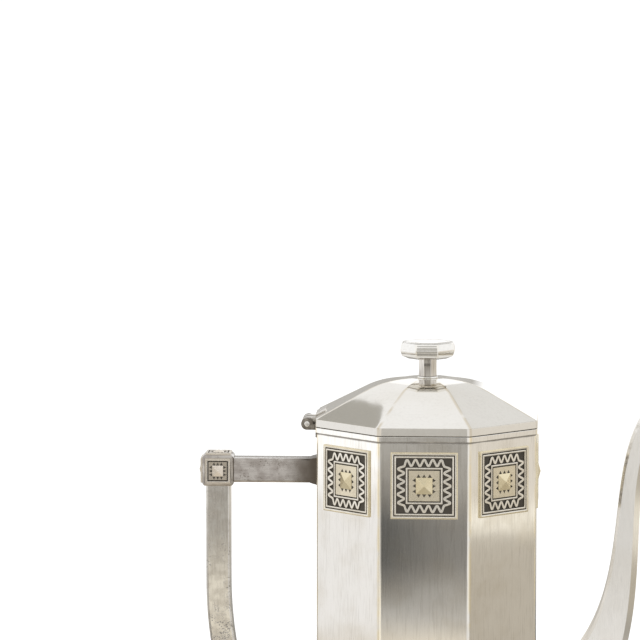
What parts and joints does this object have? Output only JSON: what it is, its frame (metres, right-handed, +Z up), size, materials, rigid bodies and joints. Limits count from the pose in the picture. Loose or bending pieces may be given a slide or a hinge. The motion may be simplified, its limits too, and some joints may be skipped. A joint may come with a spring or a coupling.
{
  "type": "coffee pot",
  "caption": "Straight-sided octagonal silver coffee pot with a hinged domed lid and button knob, an S-curved spout, a square-bar handle and zigzag-framed pyramid plaques.",
  "frame": {"origin": "on the pot's axis, at the level of the surface it stands on", "axes": "+Z up along the vessel's axis, +X towards the spout, -X towards the handle, -Y out of the front facet"},
  "size_m": [0.1994, 0.0956, 0.2041],
  "materials": {
    "polished_silver": "polished silver with fine vertical brushing and warm edges",
    "handle_silver": "dull silver, mottled and streaked by handling",
    "hinge_silver": "silver darkened by tarnish",
    "plaque_silver": "silver with oxidised recesses and polished raised lines",
    "gilt": "pale gilding"
  },
  "bodies": {
    "pot": {"body_walls": "polished_silver", "base_plate": "polished_silver", "foot_band": "polished_silver", "mouth_rim": "polished_silver", "spout_front_side": "polished_silver", "spout_back_side": "polished_silver", "spout_inner_strip": "polished_silver", "spout_outer_strip": "polished_silver", "handle_upper_bar": "handle_silver", "handle_corner_block": "handle_silver", "handle_grip": "handle_silver", "hinge_body_leaf": "hinge_silver", "hinge_pin": "hinge_silver", "plaque_front": "plaque_silver", "zigzag_front": "plaque_silver", "plaque_front_right": "plaque_silver", "zigzag_front_right": "plaque_silver", "plaque_spout_side": "plaque_silver", "zigzag_spout_side": "plaque_silver", "plaque_back_right": "plaque_silver", "zigzag_back_right": "plaque_silver", "plaque_back": "plaque_silver", "zigzag_back": "plaque_silver", "plaque_back_left": "plaque_silver", "zigzag_back_left": "plaque_silver", "plaque_front_left": "plaque_silver", "zigzag_front_left": "plaque_silver", "handle_plaque_front": "plaque_silver", "handle_plaque_back": "plaque_silver", "handle_plaque_outer": "plaque_silver", "handle_plaque_top": "plaque_silver", "pyramid_front": "gilt", "pyramid_front_right": "gilt", "pyramid_spout_side": "gilt", "pyramid_back_right": "gilt", "pyramid_back": "gilt", "pyramid_back_left": "gilt", "pyramid_front_left": "gilt", "handle_pyramid_front": "gilt", "handle_pyramid_back": "gilt", "handle_pyramid_outer": "gilt", "handle_pyramid_top": "gilt"},
    "lid": {"lid_dome": "polished_silver", "lid_band": "polished_silver", "lid_bezel": "polished_silver", "finial_ring": "polished_silver", "finial_stem": "polished_silver", "finial_knob": "polished_silver", "finial_stud": "hinge_silver", "finial_nut": "hinge_silver", "hinge_lid_leaf": "hinge_silver"}
  },
  "joints": [
    {"name": "lid_hinge", "type": "hinge", "parent": "pot", "child": "lid", "pos_m": [-0.0506, 0, 0.17], "axis": [0, -1, 0], "range_deg": [0, 105]}
  ]
}
